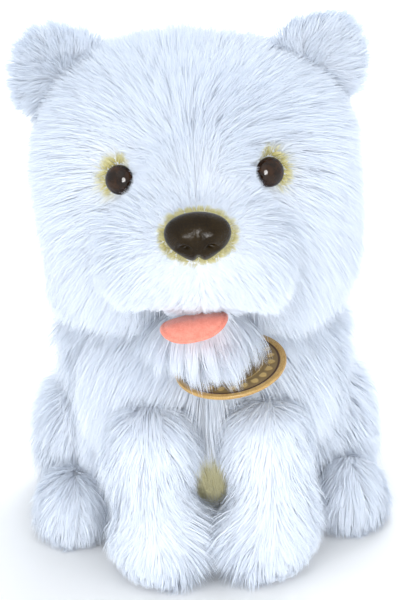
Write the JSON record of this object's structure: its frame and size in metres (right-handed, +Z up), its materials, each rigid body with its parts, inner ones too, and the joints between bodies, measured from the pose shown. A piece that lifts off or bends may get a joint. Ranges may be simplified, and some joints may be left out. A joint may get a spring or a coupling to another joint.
{
  "type": "sitting plush dog",
  "caption": "Sitting white long-pile plush terrier, 223 mm tall under its pile, with moulded eyes and nose, felt tongue, collar tag and sprung limbs.",
  "frame": {"origin": "centre of the bounding box's bottom face, on the surface the dog sits on", "axes": "+Z up, the dog faces -Y, its own left side is at +X"},
  "size_m": [0.152, 0.2, 0.223],
  "materials": {
    "brass": "polished",
    "collar_ribbon": "woven ribbon",
    "ear_lining": "short-pile plush, matt",
    "eye_plastic": "high gloss",
    "label_satin": "satin ribbon, blank",
    "nose_plastic": "satin, lightly grained",
    "pellet_bag_cloth": "thin woven cloth around plastic pellets",
    "polyester_fibre": "loose white polyester fibre",
    "sole_cloth": "short-pile plush, matt",
    "tag_leatherette": "embossed leatherette, satin",
    "tongue_felt": "felt, matt",
    "washer_plastic": "plain moulded",
    "white_plush": "long-pile plush, matt, white with a cool cast"
  },
  "bodies": {
    "torso": {"side_panel_left": "white_plush", "side_panel_right": "white_plush", "chest_panel": "white_plush", "back_panel": "white_plush", "body_stuffing": "polyester_fibre", "pellet_bag": "pellet_bag_cloth", "seat_panel": "sole_cloth", "collar": "collar_ribbon", "tag_tab": "collar_ribbon", "tag_ring": "brass", "care_label": "label_satin"},
    "head": {"head_gusset": "white_plush", "head_side_left": "white_plush", "head_side_right": "white_plush", "head_stuffing": "polyester_fibre", "muzzle_left": "white_plush", "muzzle_right": "white_plush", "muzzle_stuffing": "polyester_fibre", "chin": "white_plush", "nose": "nose_plastic", "nose_washer": "washer_plastic", "eye_left": "eye_plastic", "eye_right": "eye_plastic", "eye_washer_left": "washer_plastic", "eye_washer_right": "washer_plastic"},
    "tongue": {"tongue": "tongue_felt"},
    "tag": {"tag": "tag_leatherette", "tag_eyelet": "brass"},
    "tail": {"tail_skin": "white_plush", "tail_stuffing": "polyester_fibre"},
    "ear_left": {"ear_back_left": "white_plush", "ear_lining_left": "ear_lining"},
    "foreleg_left": {"foreleg_skin_left": "white_plush", "foreleg_stuffing_left": "polyester_fibre", "foreleg_sole_left": "sole_cloth"},
    "hind_leg_left": {"thigh_skin_left": "white_plush", "thigh_stuffing_left": "polyester_fibre", "hind_foot_left": "white_plush", "hind_foot_stuffing_left": "polyester_fibre", "hind_foot_sole_left": "sole_cloth"},
    "ear_right": {"ear_back_right": "white_plush", "ear_lining_right": "ear_lining"},
    "foreleg_right": {"foreleg_skin_right": "white_plush", "foreleg_stuffing_right": "polyester_fibre", "foreleg_sole_right": "sole_cloth"},
    "hind_leg_right": {"thigh_skin_right": "white_plush", "thigh_stuffing_right": "polyester_fibre", "hind_foot_right": "white_plush", "hind_foot_stuffing_right": "polyester_fibre", "hind_foot_sole_right": "sole_cloth"}
  },
  "joints": [
    {"name": "head_turn", "type": "hinge", "parent": "torso", "child": "head", "pos_m": [0, 0.0055, 0.106], "axis": [0, 0, 1], "range_deg": [-20, 20], "stiffness_Nm_per_rad": 0.6},
    {"name": "tongue_flap", "type": "hinge", "parent": "head", "child": "tongue", "pos_m": [-0.0035, -0.076, 0.121], "axis": [-1, 0, 0], "range_deg": [-8, 8], "stiffness_Nm_per_rad": 0.02},
    {"name": "tag_swing", "type": "hinge", "parent": "torso", "child": "tag", "pos_m": [0.01059, -0.04995, 0.1002], "axis": [-0.9945, 0, -0.1045], "range_deg": [0, 18]},
    {"name": "tail_wag", "type": "hinge", "parent": "torso", "child": "tail", "pos_m": [0, 0.077, 0.04], "axis": [0, 1, 0], "range_deg": [-22, 22], "stiffness_Nm_per_rad": 0.08},
    {"name": "ear_fold_left", "type": "hinge", "parent": "head", "child": "ear_left", "pos_m": [0.0535, -0.001, 0.2045], "axis": [0.788, 0, -0.6157], "range_deg": [-25, 25], "stiffness_Nm_per_rad": 0.03},
    {"name": "foreleg_lift_left", "type": "hinge", "parent": "torso", "child": "foreleg_left", "pos_m": [0.025, -0.062, 0.06], "axis": [-1, 0, 0], "range_deg": [0, 28], "stiffness_Nm_per_rad": 0.25},
    {"name": "hind_leg_lift_left", "type": "hinge", "parent": "torso", "child": "hind_leg_left", "pos_m": [0.0625, 0.024, 0.03], "axis": [-1, 0, 0], "range_deg": [0, 15], "stiffness_Nm_per_rad": 0.35},
    {"name": "ear_fold_right", "type": "hinge", "parent": "head", "child": "ear_right", "pos_m": [-0.0535, -0.001, 0.2045], "axis": [0.788, 0, 0.6157], "range_deg": [-25, 25], "stiffness_Nm_per_rad": 0.03},
    {"name": "foreleg_lift_right", "type": "hinge", "parent": "torso", "child": "foreleg_right", "pos_m": [-0.025, -0.062, 0.06], "axis": [-1, 0, 0], "range_deg": [0, 28], "stiffness_Nm_per_rad": 0.25},
    {"name": "hind_leg_lift_right", "type": "hinge", "parent": "torso", "child": "hind_leg_right", "pos_m": [-0.0625, 0.024, 0.03], "axis": [-1, 0, 0], "range_deg": [0, 15], "stiffness_Nm_per_rad": 0.35}
  ]
}
